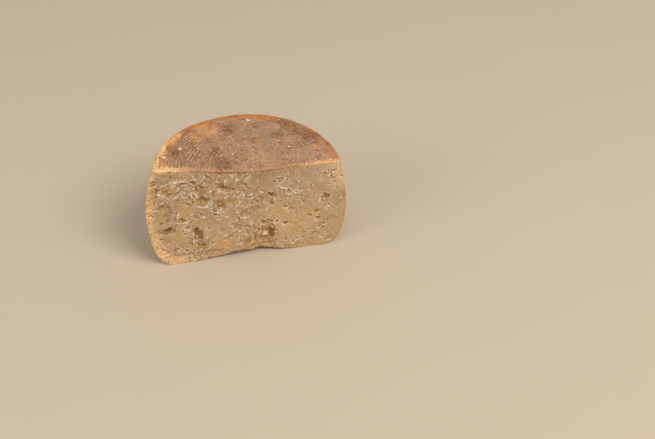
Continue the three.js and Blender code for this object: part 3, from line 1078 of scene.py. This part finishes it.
def cut_rind_colour(finish):
    """The rind's cut edge: dark in the middle, beaded from amber to cream where it is worn."""
    uneven = finish.range(finish.cloud(1.9, 3, 0.7, 1.0), 0.35, 0.65, -0.8, 0.8)
    beads = finish.mix(finish.range(finish.plus(finish.read("rings"), uneven), -0.7, 0.3), *BEADS)
    colour = finish.mix(finish.read("worn_edge"), tone(136, 76, 38), beads)
    dim = finish.times(finish.across(50, 70), finish.up(80, 68, 0, 0.8))
    return finish.mix(dim, colour, tone(176, 136, 100))


def cut_colour(finish, settings):
    """The cut face: paste, tanned towards the rind and rosy at the left, with the rind's edge round it."""
    ragged = finish.range(finish.cloud(2.2, 4, 0.7, 0.8), 0.4, 0.6, 1.2, -1.2)
    ragged = finish.plus(finish.read("skin_depth"), ragged)
    wander = finish.range(finish.cloud(5, 3, 0.6), 0.3, 0.7, 0.9, -0.9)
    wider = finish.plus(finish.times(finish.read("worn_edge"), 0.8), finish.across(-90, -70, 1.6, 0))
    band = finish.combine("SUBTRACT", finish.plus(ragged, wander), wider)
    colour = paste_colour(finish, settings)
    colour = finish.mix(finish.range(band, 3.0, 0.2, 0, 0.5), colour, tone(204, 156, 104))
    near = finish.range(finish.plus(ragged, finish.up(20, 50, -4.5, 0)), 9.5, 2.0)
    rosy = finish.times(near, finish.across(-50, -80), finish.up(98, 86, 0, 0.75))
    colour = finish.mix(rosy, colour, tone(236, 195, 145))
    return finish.mix(finish.range(band, 1.1, -0.3, 0, 0.9), colour, cut_rind_colour(finish))


def cheese_finish(rind, paste):
    finish = Finish("pecorino")
    depth = finish.read("skin_depth")
    outside = finish.range(depth, 0.32, 0.12)
    coarse = finish.relief(finish.cloud(1.4, 4, 0.65), 0.6)
    finish.give({
        "Base Color": finish.mix(outside, cut_colour(finish, paste), rind_colour(finish, rind)),
        "Roughness": finish.range(finish.cloud(4, 3), 0.3, 0.7, 0.5, 0.72),
        "Specular IOR Level": 0.25,
        "Subsurface Weight": finish.range(depth, 0.2, 0.6, 0.06, 0.6),
        "Subsurface Radius": (1.0, 0.62, 0.3),
        "Subsurface Scale": 1.6 * MM,
        "Normal": finish.relief(finish.grains(0.7), 0.15, Normal=coarse),
    })
    return finish.material


def fleck_finish():
    finish = Finish("dried_curd")
    finish.give({
        "Base Color": finish.mix(finish.range(finish.cloud(1.0), 0.3, 0.7), *DRIED_CURD),
        "Roughness": 0.6,
        "Normal": finish.relief(finish.cloud(0.6), 0.2),
    })
    return finish.material


def floor_finish(settings):
    finish = Finish("studio_floor")
    tint = finish.range(finish.cloud(160, 2), 0.3, 0.7, 0.0, 0.04)
    finish.give({
        "Base Color": finish.mix(tint, tuple(settings.floor), tone(188, 170, 146)),
        "Roughness": 0.9,
        "Specular IOR Level": 0.1,
    })
    return finish.material


# --------------------------------------------------
# Operators


class PECORINO_OT_half_wheel(bpy.types.Operator):
    """Model the half wheel: drum, cut face, openings, rings and grain"""

    bl_idname = "pecorino.half_wheel"
    bl_label = "Half wheel"

    def execute(self, context):
        scene = context.scene
        mesh = half_wheel_mesh(scene.pecorino_rind, scene.pecorino_paste)
        material = cheese_finish(scene.pecorino_rind, scene.pecorino_paste)
        piece = new_piece("half_wheel", mesh, material)
        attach(piece, "root")
        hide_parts(NODE)
        return {"FINISHED"}


def add_fleck(bm, radius, turn, length, lie, apart):
    """A flat uneven fleck, at a distance from the axis and a turn on the upper face."""
    height = HEIGHT - TOP_HOLLOW * dish(radius, TOP_RADIUS)
    spot = np.array([[radius * math.cos(turn), radius * math.sin(turn), height]])
    place = Matrix.Translation(Vector((settled(spot)[0] + SHIFT) * MM))
    fleck = bmesh.ops.create_icosphere(bm, subdivisions=3, radius=length * MM / 2)["verts"]
    for vert in fleck:
        vert.co *= 1 + 0.35 * lumps(np.array([vert.co]) / MM + apart, 1.1, 107)[0]
    shape = Matrix.Rotation(lie, 4, "Z") @ Matrix.Diagonal(FLECK_SHAPE)
    bmesh.ops.transform(bm, matrix=place @ shape, verts=fleck)


class PECORINO_OT_flecks(bpy.types.Operator):
    """Stick flecks of dried curd to the upper face"""

    bl_idname = "pecorino.flecks"
    bl_label = "Curd flecks"

    def execute(self, context):
        bm = bmesh.new()
        for index, (radius, turn, length, lie) in enumerate(FLECKS):
            add_fleck(bm, radius, math.radians(turn), length, math.radians(lie), 9 * index)
        piece = new_piece("curd_flecks", mesh_of(bm), fleck_finish())
        piece.data.shade_smooth()
        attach(piece, "root")
        return {"FINISHED"}


def soft_light(name, power, place, colour):
    """A square soft light that looks at the middle of the cheese."""
    data = bpy.data.lights.new(name, "AREA")
    data.energy = power
    data.size = LIGHT_SIZE
    data.color = colour
    light = bpy.data.objects.new(name, data)
    light.location = place
    light.rotation_euler = (Vector(LIGHT_AIM) - Vector(place)).to_track_quat("-Z", "Y").to_euler()
    bpy.context.collection.objects.link(light)


def camera_place():
    """The camera turned round the wheel, raised, rolled, and then drawn back from what it looks at."""
    aim = Matrix.Translation(Vector((np.array(CAMERA_AIM) + SHIFT) * MM))
    turned = Matrix.Rotation(CAMERA_TURN, 4, "Z") @ Matrix.Rotation(math.pi / 2 - CAMERA_RISE, 4, "X")
    rolled = Matrix.Rotation(CAMERA_ROLL, 4, "Z")
    return aim @ turned @ rolled @ Matrix.Translation((0, 0, CAMERA_DISTANCE * MM))


class PECORINO_OT_stage(bpy.types.Operator):
    """Set the floor, the soft studio light and the camera"""

    bl_idname = "pecorino.stage"
    bl_label = "Stage"

    def execute(self, context):
        stage = context.scene.pecorino_stage
        bm = bmesh.new()
        bmesh.ops.create_grid(bm, x_segments=8, y_segments=8, size=FLOOR_REACH)
        new_piece("floor", mesh_of(bm), floor_finish(stage))
        for name, share, place, colour in LIGHTS:
            soft_light(name, stage.key_power * share, place, colour)
        self.set_world(context.scene)
        self.set_camera(context.scene, stage)
        return {"FINISHED"}

    def set_world(self, scene):
        world = bpy.data.worlds.new("studio")
        world.use_nodes = True
        sky = world.node_tree.nodes["Background"]
        sky.inputs["Color"].default_value = SKY_COLOUR
        sky.inputs["Strength"].default_value = SKY_STRENGTH
        scene.world = world
        scene.view_settings.view_transform = "Standard"

    def set_camera(self, scene, stage):
        data = bpy.data.cameras.new("camera")
        data.sensor_width = SENSOR_WIDTH
        data.lens = stage.lens
        camera = bpy.data.objects.new("camera", data)
        camera.matrix_world = camera_place()
        bpy.context.collection.objects.link(camera)
        scene.camera = camera


class PECORINO_PT_panel(bpy.types.Panel):
    """Lists the pieces and the settings"""

    bl_idname = "PECORINO_PT_panel"
    bl_label = "Pecorino half wheel"
    bl_space_type = "VIEW_3D"
    bl_region_type = "UI"
    bl_category = "Pecorino"

    def draw(self, context):
        for name, (group, operator) in GROUPS.items():
            box = self.layout.box()
            for key in group.__annotations__:
                box.prop(getattr(context.scene, name), key)
            box.operator(operator.bl_idname)


# Each group of settings, and the operator that the panel lists with it
GROUPS = {
    "pecorino_rind": (PecorinoRind, PECORINO_OT_half_wheel),
    "pecorino_paste": (PecorinoPaste, PECORINO_OT_flecks),
    "pecorino_stage": (PecorinoStage, PECORINO_OT_stage),
}
CLASSES = (*itertools.chain(*GROUPS.values()), PECORINO_PT_panel)


def register():
    for entry in CLASSES:
        bpy.utils.register_class(entry)
    for name, (group, _) in GROUPS.items():
        setattr(bpy.types.Scene, name, PointerProperty(type=group))


def unregister():
    for name in GROUPS:
        delattr(bpy.types.Scene, name)
    for entry in reversed(CLASSES):
        bpy.utils.unregister_class(entry)


def main():
    register()
    bpy.ops.pecorino.stage()
    bpy.ops.pecorino.half_wheel()
    bpy.ops.pecorino.flecks()


if __name__ == "__main__":
    main()
